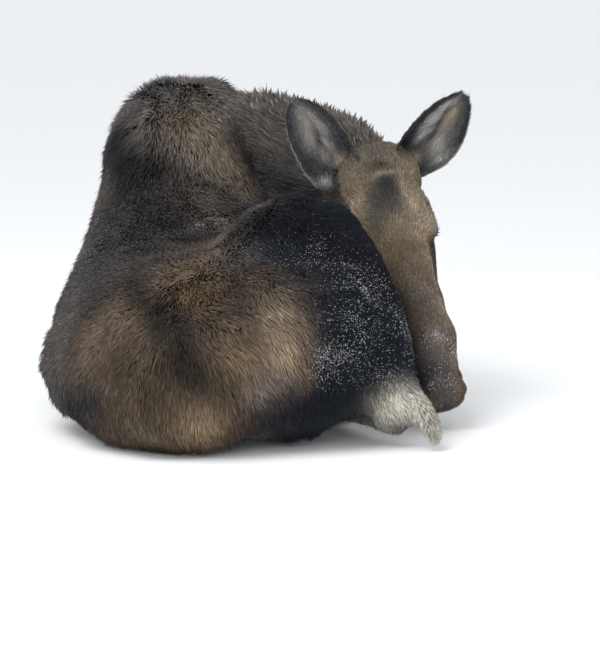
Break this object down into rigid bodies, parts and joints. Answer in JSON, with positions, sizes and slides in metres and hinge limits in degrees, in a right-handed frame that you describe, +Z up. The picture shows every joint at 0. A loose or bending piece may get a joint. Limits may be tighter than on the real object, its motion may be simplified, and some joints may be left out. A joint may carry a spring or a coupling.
{
  "type": "moose",
  "caption": "Life-size museum model of a cow moose in winter coat, lying curled on the ground with the head turned back beside the haunch.",
  "frame": {"origin": "middle of the bounding box's base, on the ground that the animal lies on", "axes": "+Z up, +Y along the back from the tail towards the withers, +X to the animal's right"},
  "size_m": [1.0848, 1.518, 0.8272],
  "materials": {
    "coat_dark": "coarse dark-brown guard hair with pale tips, over thick underfur",
    "coat_brown": "grey-brown to tan winter hair, matte, streaked along its lie",
    "coat_face": "short flat brown hair, soft satin",
    "coat_pale": "short pale grey-cream leg hair, matte",
    "ear_coat": "dark-rimmed ear with long pale-grey hair inside",
    "hoof": "dark horn with fine growth rings, dull satin",
    "eye": "wet dark-brown eye, glossy"
  },
  "bodies": {
    "root": {"hind_right_claw_outer": "hoof", "hind_right_claw_inner": "hoof", "hind_right_dewclaw_outer": "hoof", "hind_right_dewclaw_inner": "hoof", "hind_left_claw_outer": "hoof", "hind_left_claw_inner": "hoof", "hind_left_dewclaw_outer": "hoof", "hind_left_dewclaw_inner": "hoof", "fore_right_claw_outer": "hoof", "fore_right_claw_inner": "hoof", "fore_right_dewclaw_outer": "hoof", "fore_right_dewclaw_inner": "hoof", "fore_left_claw_outer": "hoof", "fore_left_claw_inner": "hoof", "fore_left_dewclaw_outer": "hoof", "fore_left_dewclaw_inner": "hoof", "eye_left": "eye", "eye_right": "eye", "hind_right_pastern": "coat_pale", "hind_left_pastern": "coat_pale", "fore_right_pastern": "coat_pale", "fore_left_pastern": "coat_pale", "hind_cannon_right": "coat_pale", "hind_cannon_left": "coat_pale", "fore_cannon_right": "coat_pale", "fore_cannon_left": "coat_pale", "forearm_right": "coat_dark", "forearm_left": "coat_dark", "tail": "coat_brown", "shank_right": "coat_dark", "thigh_right": "coat_brown", "thigh_left": "coat_brown", "shank_left": "coat_dark", "rump": "coat_dark", "barrel": "coat_dark", "chest": "coat_dark", "hump": "coat_dark", "shoulder_right": "coat_brown", "shoulder_left": "coat_brown", "neck": "coat_brown", "head": "coat_face", "lower_jaw": "coat_face", "bell": "coat_brown", "ear_right": "ear_coat", "ear_left": "ear_coat"}
  },
  "joints": []
}
